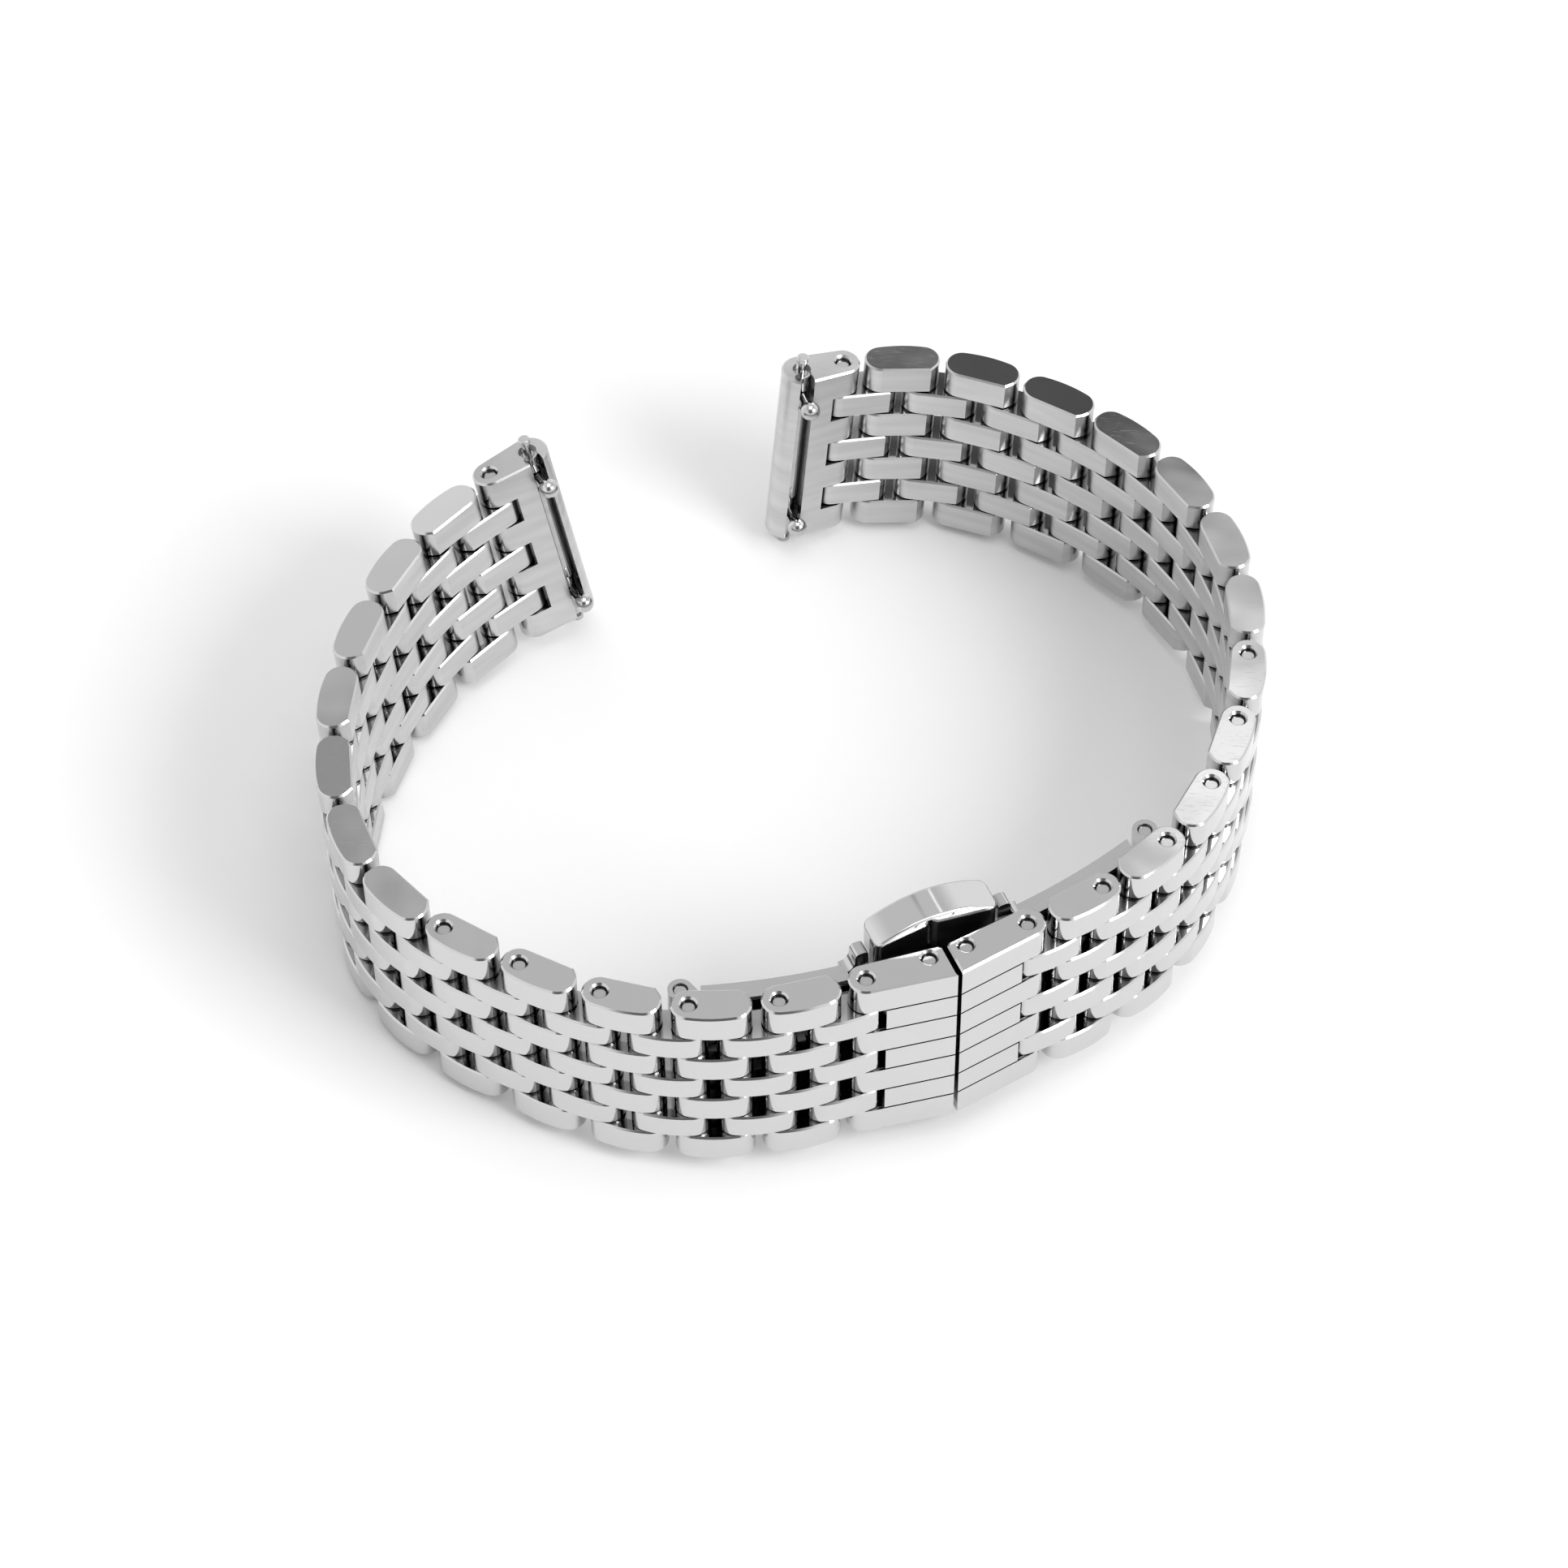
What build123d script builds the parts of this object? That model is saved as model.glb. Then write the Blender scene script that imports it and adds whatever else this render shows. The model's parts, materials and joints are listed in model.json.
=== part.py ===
# Link watch bracelet with a butterfly clasp, closed and standing on its edge.
# Millimetres. Each piece is drawn in its own frame and then put in its place along the band.
import os
from functools import cache
from itertools import accumulate
from math import asin, atan2, cos, degrees, hypot, pi, radians, sin, sqrt, tan

from build123d import *

# Band: seven rows of links, laid like bricks on pins that cross the whole width
band_width = 18.0
link_pitch = 6.8
link_thickness = 2.95
end_gap = 0.6
row_gap = 0.1
row_shares = (1.05, 0.93, 1.0, 0.93, 1.0, 0.93, 1.05)
edge_break = 0.14
corner_angle = 45

half_width = band_width / 2
pin_spacing = link_pitch / 2
half_span = pin_spacing / 2
end_radius = (pin_spacing - end_gap) / 2
crest = link_thickness - end_radius
rows = len(row_shares)
rows_width = band_width - row_gap * (rows - 1)
row_widths = [rows_width * share / sum(row_shares) for share in row_shares]
row_ends = list(accumulate(width + row_gap for width in row_widths))
row_centres = [end - row_gap - width / 2 - half_width for end, width in zip(row_ends, row_widths)]
outer_rows = range(0, rows, 2)
inner_rows = range(1, rows, 2)
cut_over = band_width / 10

# Pins: a removable one shows its recessed end, a fixed one stops inside the outer rows
pin_diameter = 1.2
pin_break = 0.12
running_clearance = 0.04
pin_recess = 0.4
mouth_break = 0.15
blind_wall = 0.7
removable_pitches = 5

pin_radius = pin_diameter / 2
running_radius = pin_radius + running_clearance
shown_length = band_width - 2 * pin_recess
hidden_length = band_width - 2 * blind_wall

# Pockets and row lines of the blocks at the two ends of each half of the band
pocket_clearance = 0.5
row_line_width = 0.16
row_line_depth = 0.22
pocket_radius = end_radius + pocket_clearance

# End piece that meets the watch case
bar_reach = 3.6
lug_end_radius = 1.65
channel_mouth = 1.2

# Quick-release spring bar
bar_diameter = 1.5
bar_bore = 1.06
bar_inset = 0.35
tip_diameter = 0.96
tip_proud = 1.4
tip_head = 0.45
neck_diameter = 0.6
tip_travel = 1.2
tip_root = 2.1
tip_break = 0.08
knob_place = 6.7
knob_diameter = 1.6
knob_reach = 2.6
stalk_diameter = 0.7
stalk_clearance = 0.1

# Blocks that meet at the clasp
split_gap = 0.35
split_reach = 6.72
fold_pin_reach = 1.53
fold_pin_depth = -0.1
block_inner = 0.68
block_outer = 2.45
block_bevel = 0.3
fold_barrel_radius = 0.86
barrel_clearance = 0.35
neck_half_width = 4.0
neck_clearance = 0.25

# Folding clasp: two wings lie over one centre plate, all three curved with the band
fold_radius = 58.0
fold_face = 1.2
wing_thickness = 0.75
wing_half_width = 7.1
wing_start = 7.2
plate_gap = 0.1
plate_thickness = 0.8
plate_half_width = 6.9
knuckle_reach = 19.5
knuckle_radius = 1.0
knuckle_clearance = 0.3
knuckle_half_width = 3.0
knuckle_gap = 0.2
nose_start = 2.4
nose_width = 1.0
nose_half_height = 1.6
nose_clearance = 0.4

# Push-button box on the plate
box_half_length = 5.0
box_half_width = 6.0
box_depth = 2.25
box_wall = 0.5
stem_clearance = 0.1
ear_start = 5.4
ear_length = 1.1
ear_half_width = 8.6
ear_depth = 1.2
ear_round = 0.4
ear_foot = 0.9
button_half_length = 5.1
button_thickness = 2.85
button_face = 1.75
button_proud = 2.2
button_shoulder = 0.7
button_gap = 0.4
button_end_round = 0.6
button_break = 0.2
button_travel = 0.6
stem_half_length = 4.4
stem_gap = 1.0

# Rest shape: how far the pins turn, from the clasp outwards, as (pins, degrees each)
clasp_turn = 27.9
right_bends = [(4, 5.3), (2, 8.8), (2, 5.1), (2, 5.5), (2, 5.0), (6, 7.6), (4, 6.0), (2, 10.6), (2, 7.8)]
left_bends = [(2, 4.6), (2, 7.0), (2, 7.9), (2, 6.1), (2, 2.3), (2, 7.3), (2, 10.9), (2, 8.4),
              (4, 6.1), (2, 4.7), (2, 8.2), (2, 6.3)]
# The play in the pins lets the links stand a little out of square: (pins, back, out) each
right_play = [(6, -0.1, 0.1), (11, 0.0, 0.0), (3, 0.0, 0.6), (3, 0.2, 0.6), (3, 0.75, 0.4)]
resting_set = 17
left_play = [(6, -0.25, 0.0), (9, 0.1, 0.2), (5, -0.25, 0.8), (3, -0.2, 1.2), (3, 0.35, 1.5)]
joined_pitches = 3


# Shapes of one link, one pin and the rows of a block

crest_rise = crest - end_radius
crest_depth = (half_span**2 - crest_rise**2) / (2 * crest_rise)
crest_slope = atan2(half_span, crest_depth)
crest_start = (half_span + end_radius * sin(crest_slope), -end_radius * cos(crest_slope))
corner_slope = radians(corner_angle)
corner_reach = end_radius * tan((pi / 2 - corner_slope) / 2)
corner_start = (-half_span - end_radius * cos(corner_slope), end_radius * sin(corner_slope))


def link(width):
    # X runs away from the clasp, Y towards the wrist, and the two pins lie along Z
    with BuildPart() as block:
        with BuildSketch(Plane.XY.offset(-width / 2)):
            with BuildLine():
                Line((-half_span - corner_reach, end_radius), (half_span, end_radius))
                ThreePointArc((half_span, end_radius), (half_span + end_radius, 0), crest_start)
                ThreePointArc(crest_start, (0, -crest), (-crest_start[0], crest_start[1]))
                ThreePointArc((-crest_start[0], crest_start[1]), (-half_span - end_radius, 0), corner_start)
                Line(corner_start, (-half_span - corner_reach, end_radius))
            make_face()
        extrude(amount=width)
        chamfer(block.faces().filter_by(Axis.Z).edges(), edge_break)
    return block.part


link_blocks = [link(width) for width in row_widths]


def pin(length):
    with BuildPart() as rod:
        Cylinder(pin_radius, length)
        chamfer(rod.edges().filter_by(GeomType.CIRCLE), pin_break)
    return rod.part


shown_pin = pin(shown_length)
hidden_pin = pin(hidden_length)
mouth_frames = Pos(Z=half_width - mouth_break), Rotation(X=180) * Pos(Z=half_width - mouth_break)


def bevel_mouths(frame):
    # the two open ends of a bore that crosses the band
    with Locations(*(frame * mouth for mouth in mouth_frames)):
        Cone(pin_radius, pin_radius + 2 * mouth_break, 2 * mouth_break,
             align=(Align.CENTER, Align.CENTER, Align.MIN), mode=Mode.SUBTRACT)


def pin_frames(lean):
    # the two pins of a set of links, in the frame of the set
    return Pos(X=-half_span) * Rotation(*lean).inverse(), Pos(X=half_span) * Rotation(*lean)


@cache
def inner_links(lean):
    with BuildPart() as links:
        for row in inner_rows:
            with Locations((0, 0, row_centres[row])):
                add(link_blocks[row])
        with Locations(*pin_frames(lean)):
            Cylinder(running_radius, band_width, mode=Mode.SUBTRACT)
    return links.part


@cache
def outer_links(lean, lug_bore_length):
    clasp_frame, lug_frame = pin_frames(lean)
    with BuildPart() as links:
        for row in outer_rows:
            with Locations((0, 0, row_centres[row])):
                add(link_blocks[row])
        with Locations(clasp_frame):
            Cylinder(pin_radius, hidden_length, mode=Mode.SUBTRACT)
        with Locations(lug_frame):
            Cylinder(pin_radius, lug_bore_length, mode=Mode.SUBTRACT)
        if lug_bore_length > band_width:
            bevel_mouths(lug_frame)
    return links.part


def named(label, *pieces):
    solids = [solid for piece in pieces for solid in piece.solids()]
    return Compound(label=label, children=solids)


# Clasp block: pin of the last link at the origin, split at -X

split_face = split_gap / 2 - split_reach

with BuildSketch() as block_outline:
    Circle(end_radius)
    with BuildLine():
        Polyline((split_face, -block_outer), (split_face, block_inner - block_bevel),
                 (split_face + block_bevel, block_inner), (split_face, -block_outer))
    make_face()
    make_hull()

with BuildSketch() as end_outline:
    Circle(end_radius)
    with Locations((bar_reach, 0)):
        Circle(lug_end_radius)
    make_hull()


def toothed_block(outline):
    with BuildPart() as block:
        with BuildSketch(Plane.XY.offset(-half_width)):
            add(outline)
            Circle(pocket_radius, mode=Mode.SUBTRACT)
        extrude(amount=band_width)
        for row in outer_rows:
            with BuildSketch(Plane.XY.offset(row_centres[row] - row_widths[row] / 2)):
                add(outline)
            extrude(amount=row_widths[row])
        by_height = block.faces().sort_by(Axis.Z)
        chamfer([*by_height[0].edges(), *by_height[-1].edges()], edge_break)
    return block.part


def row_lines(frame, length):
    # shallow lines between the rows, cut down from the outer surface that runs along X of the frame
    with Locations(*(frame * Pos(Z=end - row_gap / 2 - half_width) for end in row_ends[:-1])):
        Box(length, 2 * row_line_depth, row_line_width, align=(Align.MIN, Align.CENTER, Align.CENTER),
            mode=Mode.SUBTRACT)


block_reach = hypot(split_face, block_outer)
block_slope = degrees(atan2(block_outer, -split_face) - asin(end_radius / block_reach))
block_surface = Pos(split_face, -block_outer) * Rotation(Z=block_slope)
notch_half_width = neck_half_width + neck_clearance
notch_radius = fold_barrel_radius + barrel_clearance
fold_pin_x = fold_pin_reach - split_reach

with BuildPart() as clasp_block:
    add(toothed_block(block_outline.sketch))
    row_lines(block_surface, split_reach)
    Cylinder(pin_radius, band_width + cut_over, mode=Mode.SUBTRACT)
    bevel_mouths(Pos())
    with Locations((fold_pin_x, fold_pin_depth)):
        Cylinder(pin_radius, band_width + cut_over, mode=Mode.SUBTRACT)
        Cylinder(notch_radius, 2 * notch_half_width, mode=Mode.SUBTRACT)
    bevel_mouths(Pos(fold_pin_x, fold_pin_depth))
    with Locations((fold_pin_x + notch_radius, fold_pin_depth)):
        Box(split_reach, split_reach, 2 * notch_half_width, align=(Align.MAX, Align.MIN, Align.CENTER),
            mode=Mode.SUBTRACT)
    with Locations((fold_pin_x, fold_pin_depth)):
        Box(split_reach, 2 * notch_radius, 2 * notch_half_width,
            align=(Align.MAX, Align.CENTER, Align.CENTER), mode=Mode.SUBTRACT)

# End piece: pin of the last link at the origin, spring bar at +X

with BuildPart() as lug_block:
    add(toothed_block(end_outline.sketch))
    row_lines(Pos(Y=-lug_end_radius), bar_reach)
    Cylinder(pin_radius, band_width + cut_over, mode=Mode.SUBTRACT)
    bevel_mouths(Pos())
    with Locations((bar_reach, 0)):
        Cylinder(bar_diameter / 2, band_width + cut_over, mode=Mode.SUBTRACT)
        Box(channel_mouth, 2 * lug_end_radius, band_width + cut_over,
            align=(Align.CENTER, Align.MIN, Align.CENTER), mode=Mode.SUBTRACT)

# Spring bar, in the frame of its own axis, and one of its two tips

bar_length = band_width - 2 * bar_inset
stalk_slot = tip_travel + stalk_diameter + 2 * stalk_clearance

with BuildPart() as bar_tube:
    Cylinder(bar_diameter / 2, bar_length)
    Cylinder(bar_bore / 2, bar_length + cut_over, mode=Mode.SUBTRACT)
    for side in (1, -1):
        slot_centre = side * (knob_place - tip_travel / 2)
        with Locations((0, 0, slot_centre)):
            Box(stalk_diameter + 2 * stalk_clearance, bar_diameter, stalk_slot,
                align=(Align.CENTER, Align.MIN, Align.CENTER), mode=Mode.SUBTRACT)

with BuildPart() as bar_tip:
    tip_top = half_width + tip_proud
    with Locations((0, 0, knob_place - tip_root)):
        Cylinder(tip_diameter / 2, bar_length / 2 - knob_place + tip_root,
                 align=(Align.CENTER, Align.CENTER, Align.MIN))
    with Locations((0, 0, knob_place)):
        Cylinder(neck_diameter / 2, tip_top - knob_place, align=(Align.CENTER, Align.CENTER, Align.MIN))
    with Locations((0, 0, tip_top)):
        Cylinder(tip_diameter / 2, tip_head, align=(Align.CENTER, Align.CENTER, Align.MAX))
    fillet(bar_tip.faces().sort_by(Axis.Z)[-1].edges(), tip_break)
    with Locations(Plane(origin=(0, 0, knob_place), z_dir=(0, 1, 0))):
        Cylinder(stalk_diameter / 2, knob_reach, align=(Align.CENTER, Align.CENTER, Align.MIN))
    with Locations((0, knob_reach, knob_place)):
        Sphere(knob_diameter / 2)

# Folding clasp, in the frame of the split: X along the band, Y towards the wrist

fold_centre = fold_face + fold_radius
plate_depth = wing_thickness + plate_gap


def fold_point(x, depth):
    return (x, fold_centre - sqrt((fold_radius - depth)**2 - x**2))


def fold_strip(start, end, depth, thickness):
    middle = (start + end) / 2
    far = depth + thickness
    with BuildSketch() as strip:
        with BuildLine():
            ThreePointArc(fold_point(start, depth), fold_point(middle, depth), fold_point(end, depth))
            Line(fold_point(end, depth), fold_point(end, far))
            ThreePointArc(fold_point(end, far), fold_point(middle, far), fold_point(start, far))
            Line(fold_point(start, far), fold_point(start, depth))
        make_face()
    return strip.sketch


knuckle = fold_point(knuckle_reach, plate_depth + plate_thickness / 2)
lug_start = knuckle_half_width + knuckle_gap
strip_end = knuckle_reach - knuckle_radius - knuckle_clearance
wing_strip = fold_strip(wing_start, strip_end, 0, wing_thickness)
neck_end = fold_pin_reach + fold_barrel_radius
neck_strip = fold_strip(neck_end - wing_thickness / 2, wing_start + wing_thickness, 0, wing_thickness)
nose_reach = plate_depth + box_depth - box_wall - nose_clearance

with BuildSketch() as neck_hull:
    with Locations((fold_pin_reach, fold_pin_depth)):
        Circle(fold_barrel_radius)
    with Locations((neck_end, fold_pin_depth)):
        Rectangle(wing_thickness / 2, fold_face + wing_thickness - fold_pin_depth,
                  align=(Align.MAX, Align.MIN))
    make_hull()

with BuildSketch() as lug_hull:
    with Locations(knuckle):
        Circle(knuckle_radius)
    with BuildLine():
        Line(fold_point(strip_end, 0), fold_point(strip_end, wing_thickness))
    make_hull()

with BuildPart() as wing:
    with BuildSketch():
        add(wing_strip)
    extrude(amount=wing_half_width, both=True)
    for side in (1, -1):
        with BuildSketch(Plane.XY.offset(side * lug_start)):
            add(lug_hull.sketch)
        extrude(amount=side * (wing_half_width - lug_start))
    with BuildSketch():
        add(neck_strip)
        add(neck_hull.sketch)
    extrude(amount=neck_half_width, both=True)
    with Locations((nose_start, fold_face)):
        Box(nose_width, nose_reach, 2 * nose_half_height, align=(Align.MIN, Align.MIN, Align.CENTER))
    with Locations((fold_pin_reach, fold_pin_depth)):
        Cylinder(running_radius, band_width, mode=Mode.SUBTRACT)
    with Locations(knuckle):
        Cylinder(pin_radius, band_width, mode=Mode.SUBTRACT)

wing_pin = pin(2 * wing_half_width - pin_recess)

# Plate: the guide box stands clear of the necks that pass over it, and its brackets end the buttons

box_face = fold_point(box_half_length, plate_depth)[1]
ear_end = ear_start + ear_length
ear_face = fold_point(ear_end + ear_foot, plate_depth)[1]
foot_half_width = plate_half_width + ear_foot
plate_end = strip_end - knuckle_clearance
stem_half_depth = box_depth / 2 - box_wall - stem_clearance
stem_centre = box_face + box_depth / 2

with BuildPart() as plate:
    with BuildSketch():
        add(fold_strip(-plate_end, plate_end, plate_depth, plate_thickness))
    extrude(amount=plate_half_width, both=True)
    with Locations((0, fold_face)):
        Box(2 * ear_start, band_width, band_width, align=(Align.CENTER, Align.MIN, Align.CENTER),
            mode=Mode.SUBTRACT)
    with BuildSketch():
        add(fold_strip(-knuckle_reach, knuckle_reach, plate_depth, plate_thickness))
        for side in (1, -1):
            with Locations((side * knuckle[0], knuckle[1])):
                Circle(knuckle_radius)
    extrude(amount=knuckle_half_width, both=True)
    with BuildSketch():
        add(fold_strip(-ear_start, ear_start, plate_depth, plate_thickness))
    extrude(amount=box_half_width, both=True)
    with Locations((0, box_face)):
        Box(2 * box_half_length, box_depth, 2 * box_half_width,
            align=(Align.CENTER, Align.MIN, Align.CENTER))
    with BuildSketch(Plane.XZ.offset(-ear_face)):
        for side in (1, -1):
            with Locations((side * (ear_start + ear_length / 2), 0)):
                RectangleRounded(ear_length, 2 * ear_half_width, ear_round)
            with Locations((side * (ear_end + ear_foot / 2), 0)):
                Rectangle(ear_foot, 2 * foot_half_width)
            with Locations(*((side * (ear_end + ear_foot), end * foot_half_width) for end in (1, -1))):
                Circle(ear_foot, mode=Mode.SUBTRACT)
    extrude(amount=-ear_depth)
    with Locations((0, stem_centre)):
        Box(2 * (stem_half_length + stem_clearance), 2 * (stem_half_depth + stem_clearance),
            2 * box_half_width + cut_over, mode=Mode.SUBTRACT)
    for side in (1, -1):
        with Locations((side * (nose_start + nose_width / 2), fold_face)):
            Box(nose_width + 2 * nose_clearance, stem_centre - fold_face,
                2 * (nose_half_height + nose_clearance), align=(Align.CENTER, Align.MIN, Align.CENTER),
                mode=Mode.SUBTRACT)
        with Locations((side * knuckle[0], knuckle[1])):
            Cylinder(running_radius, band_width, mode=Mode.SUBTRACT)

button_root = box_half_width + button_travel + button_gap
button_top = half_width + button_proud
button_side = half_width + button_shoulder
stem_end = nose_half_height + nose_clearance + button_travel + stem_gap

with BuildPart() as button:
    with BuildSketch(Plane.XZ.offset(-button_face)):
        with BuildLine():
            Line((-button_half_length, button_root), (button_half_length, button_root))
            Line((button_half_length, button_root), (button_half_length, button_side))
            ThreePointArc((button_half_length, button_side), (0, button_top),
                          (-button_half_length, button_side))
            Line((-button_half_length, button_side), (-button_half_length, button_root))
        make_face()
    extrude(amount=-button_thickness)
    fillet(button.edges().filter_by(Axis.Z), button_end_round)
    fillet(button.faces().sort_by(Axis.Z)[-1].edges(), button_break)
    with Locations((0, stem_centre, stem_end)):
        Box(2 * stem_half_length, 2 * stem_half_depth, button_root - stem_end,
            align=(Align.CENTER, Align.CENTER, Align.MIN))

# Places along the band


def spread(stretches):
    return [values for count, *values in stretches for _ in range(count)]


def strand_frames(clasp_frame, up, bends, play):
    # frames of the pins and of the link sets between them, from the clasp to the lug end
    pins = [clasp_frame * Pos(X=split_reach)]
    sets = []
    leans = [(up * out / 2, -up * back / 2, 0) for back, out in spread(play)]
    for (bend,), lean in zip(spread(bends), leans):
        turned = pins[-1] * Rotation(Z=bend)
        sets.append(turned * Rotation(*lean) * Pos(X=half_span))
        pins.append(sets[-1] * Pos(X=half_span) * Rotation(*lean))
    # the last turn is made by the end piece itself
    return pins[:-1], sets[:-1], leans[:-1], turned


def strand(side, clasp_frame, up, bends, play):
    pins, sets, leans, lug_frame = strand_frames(clasp_frame, up, bends, play)
    nodes = [named(f"{side}_clasp_block", pins[0] * clasp_block.part, pins[0] * shown_pin,
                   pins[0] * Pos(fold_pin_x, fold_pin_depth) * shown_pin)]
    for index in range(0, len(sets) - 1, 2):
        pitch = index // 2 + 1
        shown = pitch <= removable_pitches
        inner = sets[index] * inner_links(leans[index])
        bore_length = band_width + cut_over if shown else hidden_length
        outer = sets[index + 1] * outer_links(leans[index + 1], bore_length)
        rods = pins[index + 1] * hidden_pin, pins[index + 2] * (shown_pin if shown else hidden_pin)
        if pitch <= joined_pitches:
            nodes.append(named(f"{side}_link_pair_{pitch:02d}", inner, outer, *rods))
        else:
            nodes.append(named(f"{side}_inner_links_{pitch:02d}", inner))
            nodes.append(named(f"{side}_outer_links_{pitch:02d}", outer, *rods))
    last = sets[-1] * inner_links(leans[-1])
    nodes.append(named(f"{side}_inner_links_{pitch + 1:02d}", last))
    bar_frame = lug_frame * Pos(X=bar_reach)
    nodes.append(named(f"{side}_end_piece", lug_frame * lug_block.part, lug_frame * shown_pin))
    nodes.append(named(f"{side}_spring_bar", bar_frame * bar_tube.part))
    turned = {"upper": Rotation(Y=90 - up * 90), "lower": Rotation(Y=90 + up * 90)}
    for end, turn in turned.items():
        nodes.append(named(f"{side}_{end}_bar_tip", bar_frame * turn * bar_tip.part))
    hinge_pin = clasp_frame * Pos(*knuckle) * wing_pin
    nodes.append(named(f"{side}_clasp_wing", clasp_frame * wing.part, hinge_pin))
    return nodes


centre_frame = Rotation(Z=clasp_turn)
mirrored_frame = centre_frame * Rotation(Y=180)
right_nodes = strand("right", centre_frame, 1, right_bends, right_play)
left_nodes = strand("left", mirrored_frame, -1, left_bends, left_play)
clasp_nodes = [
    named("clasp_plate", centre_frame * plate.part),
    named("upper_push_button", centre_frame * button.part),
    named("lower_push_button", mirrored_frame * button.part),
]

# The bracelet stands on the lower push-button, the right half's lower bar tip and one outer link at the left
right_lug = strand_frames(centre_frame, 1, right_bends, right_play)[-1]
left_sets = strand_frames(mirrored_frame, -1, left_bends, left_play)[1]
button_foot = centre_frame * Pos(0, button_face + button_thickness / 2, -button_top)
tip_foot = right_lug * Pos(bar_reach, 0, -tip_top)
link_foot = left_sets[resting_set] * Pos(0, edge_break - crest, half_width)
feet = [foot.position for foot in (button_foot, tip_foot, link_foot)]
ground_normal = (feet[1] - feet[0]).cross(feet[2] - feet[0]).normalized()
ground_x = Vector(1, 0, 0) - ground_normal * ground_normal.X
ground = Plane(origin=feet[0], x_dir=ground_x, z_dir=ground_normal)
nodes = [node.moved(ground.location.inverse()) for node in clasp_nodes + right_nodes + left_nodes]

# The origin is under the middle of the bracelet's box
box = Compound(children=[node.moved(Location()) for node in nodes]).bounding_box()
stand = Pos(-box.center().X, -box.center().Y, -box.min.Z)

os.makedirs("parts", exist_ok=True)
for node in nodes:
    placed = node.moved(stand)
    placed.label = node.label
    export_step(placed, f"parts/{node.label}.step")
print(len(nodes), "nodes, size", [round(length, 2) for length in box.size])
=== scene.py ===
# A steel link watch bracelet, closed and standing on its edge on a pale table
import json
import math

import bpy
from mathutils import Matrix, Vector

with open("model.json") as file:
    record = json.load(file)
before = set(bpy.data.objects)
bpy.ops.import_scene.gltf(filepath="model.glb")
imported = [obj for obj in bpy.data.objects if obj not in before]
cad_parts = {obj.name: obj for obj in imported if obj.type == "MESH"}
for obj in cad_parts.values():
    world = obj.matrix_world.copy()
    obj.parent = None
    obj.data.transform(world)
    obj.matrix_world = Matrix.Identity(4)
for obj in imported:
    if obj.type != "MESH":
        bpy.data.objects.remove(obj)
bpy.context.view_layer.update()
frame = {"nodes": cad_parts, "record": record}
scene = bpy.context.scene
print("frame loaded,", len(frame["nodes"]), "nodes")

# Camera: in front of the clasp, looking down on it with a long lens and a slight tilt of the frame
cameraView = {
    "aim": (-0.00026, -0.005253, 0.01127),
    "azimuth": -2.177,
    "elevation": 53.223,
    "distance": 0.5128,
    "tilt": 2.838,
    "lens": 149.07,
    "filmWidth": 36,
    "nearest": 0.01,
    "farthest": 20,
}


def addCamera(view):
    azimuth = math.radians(view["azimuth"])
    elevation = math.radians(view["elevation"])
    tilt = math.radians(view["tilt"])
    across = Vector((math.cos(azimuth), -math.sin(azimuth), 0))
    away = Vector((math.sin(azimuth), math.cos(azimuth), 0))
    upward = away * math.sin(elevation) + Vector((0, 0, math.cos(elevation)))
    back = Vector((0, 0, math.sin(elevation))) - away * math.cos(elevation)
    right = across * math.cos(tilt) + upward * math.sin(tilt)
    top = upward * math.cos(tilt) - across * math.sin(tilt)
    turn = Matrix((right, top, back)).transposed().to_4x4()
    data = bpy.data.cameras.new("photoCamera")
    data.lens = view["lens"]
    data.sensor_width = view["filmWidth"]
    data.clip_start = view["nearest"]
    data.clip_end = view["farthest"]
    camera = bpy.data.objects.new("photoCamera", data)
    camera.matrix_world = Matrix.Translation(Vector(view["aim"]) + back * view["distance"]) @ turn
    scene.collection.objects.link(camera)
    scene.camera = camera


addCamera(cameraView)
print("camera placed")


# Small helpers for node trees

def addNode(tree, kind, **settings):
    node = tree.nodes.new(kind)
    for name, value in settings.items():
        setattr(node, name, value)
    return node


def setInputs(node, **values):
    for name, value in values.items():
        node.inputs[name.replace("_", " ")].default_value = value
    return node


def mathNode(tree, operation, first, second=None, clamp=False):
    node = addNode(tree, "ShaderNodeMath", operation=operation, use_clamp=clamp)
    for socket, value in zip(node.inputs, (first, second)):
        if value is None:
            continue
        if isinstance(value, (int, float)):
            socket.default_value = value
        else:
            tree.links.new(value, socket)
    return node.outputs["Value"]


def newGroup(name, inputs, outputs):
    group = bpy.data.node_groups.new(name, "ShaderNodeTree")
    for label, value in inputs.items():
        socket = group.interface.new_socket(name=label, in_out="INPUT", socket_type="NodeSocketFloat")
        socket.default_value = value
    for label in outputs:
        group.interface.new_socket(name=label, in_out="OUTPUT", socket_type="NodeSocketFloat")
    return group, addNode(group, "NodeGroupInput"), addNode(group, "NodeGroupOutput")


# Which way a face looks: towards the wrist, or out of the two edges of the band
ring = {"centre": (0.001, 0.006), "wristFrom": 0.1, "wristTo": 0.4, "edgeFrom": 0.9, "edgeTo": 0.97}


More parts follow.
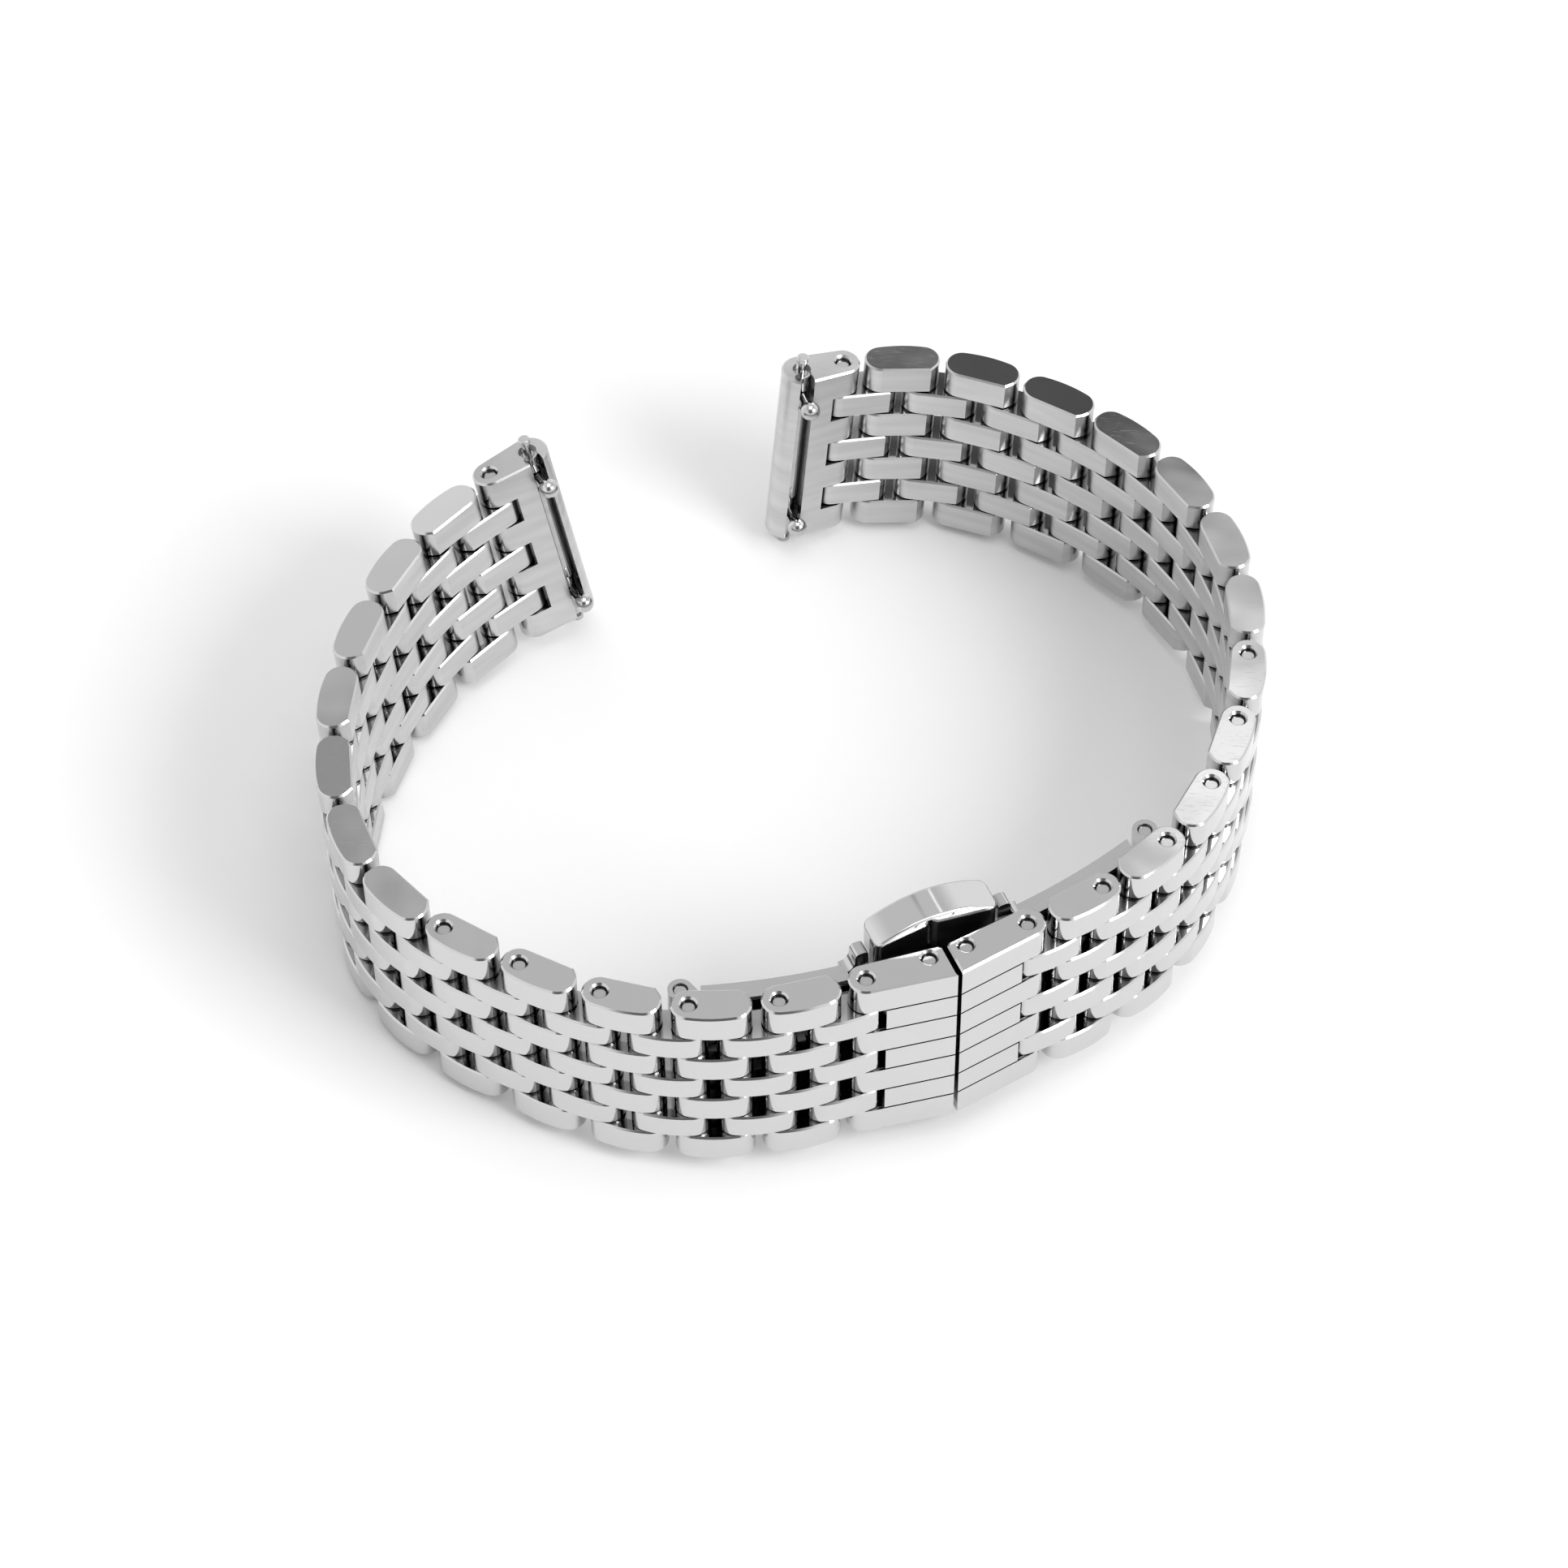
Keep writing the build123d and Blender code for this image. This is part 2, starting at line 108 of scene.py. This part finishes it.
def makeFaceMasks(values):
    group, start, end = newGroup("faceMasks", {}, ("Wrist", "Edge"))
    link = group.links.new
    coordinates = addNode(group, "ShaderNodeTexCoord")
    towards = addNode(group, "ShaderNodeVectorMath", operation="SUBTRACT")
    towards.inputs[0].default_value = (*values["centre"], 0)
    link(coordinates.outputs["Object"], towards.inputs[1])
    flatten = addNode(group, "ShaderNodeVectorMath", operation="MULTIPLY")
    link(towards.outputs["Vector"], flatten.inputs[0])
    flatten.inputs[1].default_value = (1, 1, 0)
    inward = addNode(group, "ShaderNodeVectorMath", operation="NORMALIZE")
    link(flatten.outputs["Vector"], inward.inputs[0])
    facing = addNode(group, "ShaderNodeVectorMath", operation="DOT_PRODUCT")
    link(inward.outputs["Vector"], facing.inputs[0])
    link(coordinates.outputs["Normal"], facing.inputs[1])
    wrist = addNode(group, "ShaderNodeMapRange", interpolation_type="SMOOTHSTEP")
    link(facing.outputs["Value"], wrist.inputs["Value"])
    setInputs(wrist, From_Min=values["wristFrom"], From_Max=values["wristTo"])
    link(wrist.outputs["Result"], end.inputs["Wrist"])
    upright = addNode(group, "ShaderNodeSeparateXYZ")
    link(coordinates.outputs["Normal"], upright.inputs["Vector"])
    edge = addNode(group, "ShaderNodeMapRange", interpolation_type="SMOOTHSTEP")
    link(mathNode(group, "ABSOLUTE", upright.outputs["Z"]), edge.inputs["Value"])
    setInputs(edge, From_Min=values["edgeFrom"], From_Max=values["edgeTo"])
    link(edge.outputs["Result"], end.inputs["Edge"])
    return group


# Satin brushing: fine lines along the band, with broad bands of tone in them
brushLines = {
    "across": 9000, "along": 260, "detail": 3, "roughness": 0.7,
    "bandScale": (0.4, 0.4, 0.12), "bandDetail": 2, "bandRoughness": 0.5,
}


def makeBrushing(values):
    sizes = {"Lines per metre": values["across"], "Length per metre": values["along"]}
    group, start, end = newGroup("brushing", sizes, ("Height", "Tone"))
    link = group.links.new
    coordinates = addNode(group, "ShaderNodeTexCoord")
    parts = addNode(group, "ShaderNodeSeparateXYZ")
    link(coordinates.outputs["Object"], parts.inputs["Vector"])
    stretched = addNode(group, "ShaderNodeCombineXYZ")
    for axis, size in (("X", "Length per metre"), ("Y", "Length per metre"), ("Z", "Lines per metre")):
        link(mathNode(group, "MULTIPLY", parts.outputs[axis], start.outputs[size]), stretched.inputs[axis])
    lines = addNode(group, "ShaderNodeTexNoise")
    setInputs(lines, Scale=1, Detail=values["detail"], Roughness=values["roughness"])
    link(stretched.outputs["Vector"], lines.inputs["Vector"])
    link(lines.outputs["Fac"], end.inputs["Height"])
    broad = addNode(group, "ShaderNodeMapping")
    broad.inputs["Scale"].default_value = values["bandScale"]
    link(stretched.outputs["Vector"], broad.inputs["Vector"])
    bands = addNode(group, "ShaderNodeTexNoise")
    setInputs(bands, Scale=1, Detail=values["bandDetail"], Roughness=values["bandRoughness"])
    link(broad.outputs["Vector"], bands.inputs["Vector"])
    link(bands.outputs["Fac"], end.inputs["Tone"])
    return group


# What polishing and handling leave on a face: slow waves, hairline scratches and faint smudges
marksLeft = {
    "scratchSize": 900, "scratchTurn": (0.5, 0.8, 0.3), "scratchStretch": (1, 14, 1),
    "scratchDetail": 4, "scratchRoughness": 0.6, "scratchWander": 0.4, "scratchFrom": 0.6, "scratchTo": 0.72,
    "smudgeSize": 130, "smudgeDetail": 3, "smudgeRoughness": 0.55,
    "waveSize": 190, "waveDetail": 1, "waveRoughness": 0.4,
}


def makeHandling(values):
    sizes = {"Scratch size": values["scratchSize"], "Smudge size": values["smudgeSize"],
             "Wave size": values["waveSize"]}
    group, start, end = newGroup("handling", sizes, ("Scratches", "Smudges", "Waves"))
    link = group.links.new
    coordinates = addNode(group, "ShaderNodeTexCoord")
    turned = addNode(group, "ShaderNodeMapping")
    turned.inputs["Rotation"].default_value = values["scratchTurn"]
    turned.inputs["Scale"].default_value = values["scratchStretch"]
    link(coordinates.outputs["Object"], turned.inputs["Vector"])
    hairs = addNode(group, "ShaderNodeTexNoise")
    setInputs(hairs, Detail=values["scratchDetail"], Roughness=values["scratchRoughness"],
              Distortion=values["scratchWander"])
    link(turned.outputs["Vector"], hairs.inputs["Vector"])
    link(start.outputs["Scratch size"], hairs.inputs["Scale"])
    thin = addNode(group, "ShaderNodeMapRange", interpolation_type="SMOOTHSTEP")
    link(hairs.outputs["Fac"], thin.inputs["Value"])
    setInputs(thin, From_Min=values["scratchFrom"], From_Max=values["scratchTo"])
    link(thin.outputs["Result"], end.inputs["Scratches"])
    film = addNode(group, "ShaderNodeTexNoise")
    setInputs(film, Detail=values["smudgeDetail"], Roughness=values["smudgeRoughness"])
    link(coordinates.outputs["Object"], film.inputs["Vector"])
    link(start.outputs["Smudge size"], film.inputs["Scale"])
    link(film.outputs["Fac"], end.inputs["Smudges"])
    waves = addNode(group, "ShaderNodeTexNoise")
    setInputs(waves, Detail=values["waveDetail"], Roughness=values["waveRoughness"])
    link(coordinates.outputs["Object"], waves.inputs["Vector"])
    link(start.outputs["Wave size"], waves.inputs["Scale"])
    link(waves.outputs["Fac"], end.inputs["Waves"])
    return group


# Painted shade: the colour is darkened in the gaps between links and in the mouths of the pin bores, where
# ambient occlusion finds them closed in
creviceShadeSettings = {"reach": 0.0014, "open": 0.9, "closed": 0.2, "samples": 8}


def makePaintedCreviceShade(values):
    group, start, end = newGroup("paintedCreviceShade", {}, ("PaintedShade",))
    around = addNode(group, "ShaderNodeAmbientOcclusion", samples=values["samples"])
    around.inputs["Distance"].default_value = values["reach"]
    shut = addNode(group, "ShaderNodeMapRange", interpolation_type="SMOOTHSTEP")
    group.links.new(around.outputs["AO"], shut.inputs["Value"])
    setInputs(shut, From_Min=values["open"], From_Max=values["closed"])
    group.links.new(shut.outputs["Result"], end.inputs["PaintedShade"])
    return group


faceMasks = makeFaceMasks(ring)
paintedCreviceShade = makePaintedCreviceShade(creviceShadeSettings)
brushing = makeBrushing(brushLines)
handling = makeHandling(marksLeft)
print("effect groups made")

# Steel finishes: the links are polished outside and satin inside, the clasp is satin with polished edges,
# and the spring bars and push-buttons are polished all over
# In each finish, film and its tint give the strength and the dark grey of the painted shade in the gaps and
# bore mouths
steels = {
    "link_steel": {
        "tint": (0.64, 0.64, 0.645), "satinTint": (0.70, 0.70, 0.705), "polished": 0.05, "satin": 0.28,
        "satinOnEdges": 0.0, "smudge": 0.05, "grain": 0.35, "scratch": 0.05, "waves": 0.00003,
        "film": 0.7, "creviceShadeTint": (0.14, 0.14, 0.142),
    },
    "clasp_steel": {
        "tint": (0.64, 0.64, 0.645), "satinTint": (0.68, 0.68, 0.685), "polished": 0.09, "satin": 0.26,
        "satinOnEdges": 0.35, "smudge": 0.06, "grain": 0.3, "scratch": 0.06, "waves": 0.00003,
        "film": 0.5, "creviceShadeTint": (0.16, 0.16, 0.162),
    },
    "bright_steel": {
        "tint": (0.68, 0.68, 0.685), "satinTint": (0.66, 0.66, 0.665), "polished": 0.05, "satin": 0.08,
        "satinOnEdges": 0.0, "smudge": 0.04, "grain": 0.05, "scratch": 0.05, "waves": 0.00002,
        "film": 0.5, "creviceShadeTint": (0.18, 0.18, 0.182),
    },
}

relief = {"banding": 0.35, "lineStrength": 0.25, "lineDepth": 0.00002}


def mixValue(tree, mask, low, high):
    node = addNode(tree, "ShaderNodeMix", data_type="FLOAT")
    tree.links.new(mask, node.inputs[0])
    node.inputs[2].default_value = low
    node.inputs[3].default_value = high
    return node.outputs[0]


def makeSteel(name, finish):
    material = bpy.data.materials.new(name)
    material.use_nodes = True
    tree = material.node_tree
    link = tree.links.new
    shader = tree.nodes["Principled BSDF"]
    setInputs(shader, Metallic=1.0)
    masks = addNode(tree, "ShaderNodeGroup", node_tree=faceMasks)
    lines = addNode(tree, "ShaderNodeGroup", node_tree=brushing)
    marks = addNode(tree, "ShaderNodeGroup", node_tree=handling)
    # painted shade mask: high where ambient occlusion finds the surface closed in
    closed = addNode(tree, "ShaderNodeGroup", node_tree=paintedCreviceShade)
    edgeSatin = mathNode(tree, "MULTIPLY", masks.outputs["Edge"], finish["satinOnEdges"])
    satin = mathNode(tree, "MAXIMUM", masks.outputs["Wrist"], edgeSatin)

    # colour: toned where it is brushed, with the brushing's broad bands in it, and darkened by painted shade
    # in the gaps and bore mouths
    toned = addNode(tree, "ShaderNodeMix", data_type="RGBA")
    link(satin, toned.inputs[0])
    toned.inputs[6].default_value = (*finish["tint"], 1)
    toned.inputs[7].default_value = (*finish["satinTint"], 1)
    banded = addNode(tree, "ShaderNodeMix", data_type="RGBA", blend_type="MULTIPLY")
    link(mathNode(tree, "MULTIPLY", satin, relief["banding"]), banded.inputs[0])
    link(toned.outputs[2], banded.inputs[6])
    link(lines.outputs["Tone"], banded.inputs[7])
    # painted shade: where the crevice mask is high, the colour is mixed towards a dark grey
    creviceShaded = addNode(tree, "ShaderNodeMix", data_type="RGBA")
    link(mathNode(tree, "MULTIPLY", closed.outputs["PaintedShade"], finish["film"]), creviceShaded.inputs[0])
    link(banded.outputs[2], creviceShaded.inputs[6])
    creviceShaded.inputs[7].default_value = (*finish["creviceShadeTint"], 1)
    link(creviceShaded.outputs[2], shader.inputs["Base Color"])

    # roughness: polished or satin, plus smudges
    base = mixValue(tree, satin, finish["polished"], finish["satin"])
    film = mathNode(tree, "MULTIPLY", marks.outputs["Smudges"], finish["smudge"])
    link(mathNode(tree, "ADD", base, film, clamp=True), shader.inputs["Roughness"])

    # relief: slow waves all over, brushing on the satin faces and hairlines on the polished ones
    wavy = addNode(tree, "ShaderNodeBump")
    setInputs(wavy, Strength=1, Distance=finish["waves"])
    link(marks.outputs["Waves"], wavy.inputs["Height"])
    grain = mathNode(tree, "MULTIPLY", satin, finish["grain"])
    brushed = mathNode(tree, "MULTIPLY", lines.outputs["Height"], grain)
    scratched = mathNode(tree, "MULTIPLY", marks.outputs["Scratches"], finish["scratch"])
    bump = addNode(tree, "ShaderNodeBump")
    setInputs(bump, Strength=relief["lineStrength"], Distance=relief["lineDepth"])
    link(mathNode(tree, "ADD", brushed, scratched), bump.inputs["Height"])
    link(wavy.outputs["Normal"], bump.inputs["Normal"])
    link(bump.outputs["Normal"], shader.inputs["Normal"])
    return material


finishes = {name: makeSteel(name, values) for name, values in steels.items()}
slotOf = {row["node"]: row["material_slot"] for row in frame["record"]["subparts"]}
for name, node in frame["nodes"].items():
    for materialSlot in node.material_slots:
        materialSlot.material = finishes[slotOf[name]]
print("steel finishes set on", len(slotOf), "nodes")

# Table: a wide pale sheet under the bracelet, white to the camera but for the soft shadow
table = {"halfWidth": 3.0, "colour": (0.80, 0.80, 0.80), "roughness": 0.9, "specular": 0.1, "lift": 0.07}


def makeTable(values):
    half = values["halfWidth"]
    mesh = bpy.data.meshes.new("table")
    corners = [(-half, -half, 0), (half, -half, 0), (half, half, 0), (-half, half, 0)]
    mesh.from_pydata(corners, [], [(0, 1, 2, 3)])
    piece = bpy.data.objects.new("table", mesh)
    scene.collection.objects.link(piece)
    material = bpy.data.materials.new("tablePaper")
    material.use_nodes = True
    tree = material.node_tree
    link = tree.links.new
    shader = tree.nodes["Principled BSDF"]
    setInputs(shader, Base_Color=(*values["colour"], 1), Roughness=values["roughness"],
              Specular_IOR_Level=values["specular"])
    path = addNode(tree, "ShaderNodeLightPath")
    seen = mathNode(tree, "MAXIMUM", path.outputs["Is Camera Ray"], path.outputs["Is Glossy Ray"])
    seen = mathNode(tree, "MAXIMUM", seen, path.outputs["Is Transmission Ray"])
    glow = addNode(tree, "ShaderNodeEmission")
    link(mathNode(tree, "MULTIPLY", seen, values["lift"]), glow.inputs["Strength"])
    both = addNode(tree, "ShaderNodeAddShader")
    link(shader.outputs["BSDF"], both.inputs[0])
    link(glow.outputs["Emission"], both.inputs[1])
    link(both.outputs["Shader"], tree.nodes["Material Output"].inputs["Surface"])
    mesh.materials.append(material)


makeTable(table)
print("table made")

# Light: a white studio with two soft boxes. Four parts of the room are darker and one is brighter: the wide
# one stands behind the viewer, and the small ones are placed to show in the polished tops from the front
studio = {"low": 1.0, "lowTo": 0.58, "high": 0.70, "highFrom": 0.72}
patches = [
    {"azimuth": 180, "elevation": 40, "inner": 10, "outer": 30, "grey": 0.18},
    {"azimuth": -20, "elevation": 51.5, "inner": 1.6, "outer": 3.2, "grey": 0.4},
    {"azimuth": -30, "elevation": 31, "inner": 2, "outer": 5, "grey": 0.55},
    {"azimuth": 1.6, "elevation": 49.1, "inner": 0.9, "outer": 1.3, "grey": 1.5},
    {"azimuth": 1, "elevation": 42.2, "inner": 4.1, "outer": 4.5, "grey": 0.1},
]
lamps = {
    "keyBox": {"place": (0.75, -0.35, 0.75), "size": 0.5, "power": 7.5},
    "topBox": {"place": (0, 0, 1.2), "size": 0.8, "power": 2.8},
}


def makeStudio(values, spots):
    world = bpy.data.worlds.new("studio")
    scene.world = world
    world.use_nodes = True
    tree = world.node_tree
    link = tree.links.new
    background = tree.nodes["Background"]
    coordinates = addNode(tree, "ShaderNodeTexCoord")
    parts = addNode(tree, "ShaderNodeSeparateXYZ")
    link(coordinates.outputs["Generated"], parts.inputs["Vector"])
    level = addNode(tree, "ShaderNodeMapRange", interpolation_type="SMOOTHSTEP")
    link(parts.outputs["Z"], level.inputs["Value"])
    setInputs(level, From_Min=values["lowTo"], From_Max=values["highFrom"], To_Min=values["low"],
              To_Max=values["high"])
    grey = level.outputs["Result"]
    for spot in spots:
        azimuth, elevation = math.radians(spot["azimuth"]), math.radians(spot["elevation"])
        flat = math.cos(elevation)
        toward = addNode(tree, "ShaderNodeVectorMath", operation="DOT_PRODUCT")
        link(coordinates.outputs["Generated"], toward.inputs[0])
        middle = Vector((flat * math.sin(azimuth), flat * math.cos(azimuth), math.sin(elevation)))
        toward.inputs[1].default_value = middle
        mask = addNode(tree, "ShaderNodeMapRange", interpolation_type="SMOOTHSTEP")
        link(toward.outputs["Value"], mask.inputs["Value"])
        setInputs(mask, From_Min=math.cos(math.radians(spot["outer"])),
                  From_Max=math.cos(math.radians(spot["inner"])))
        blend = addNode(tree, "ShaderNodeMix", data_type="FLOAT")
        link(mask.outputs["Result"], blend.inputs[0])
        link(grey, blend.inputs[2])
        blend.inputs[3].default_value = spot["grey"]
        grey = blend.outputs[0]
    link(grey, background.inputs["Strength"])
    background.inputs["Color"].default_value = (1, 1, 1, 1)


def addLamp(name, values):
    data = bpy.data.lights.new(name, "AREA")
    data.shape = "SQUARE"
    data.size = values["size"]
    data.energy = values["power"]
    lamp = bpy.data.objects.new(name, data)
    place = Vector(values["place"])
    lamp.location = place
    lamp.rotation_euler = (-place).to_track_quat("-Z", "Y").to_euler()
    scene.collection.objects.link(lamp)


makeStudio(studio, patches)
for name, values in lamps.items():
    addLamp(name, values)
scene.view_settings.view_transform = "Standard"
print("studio lit")
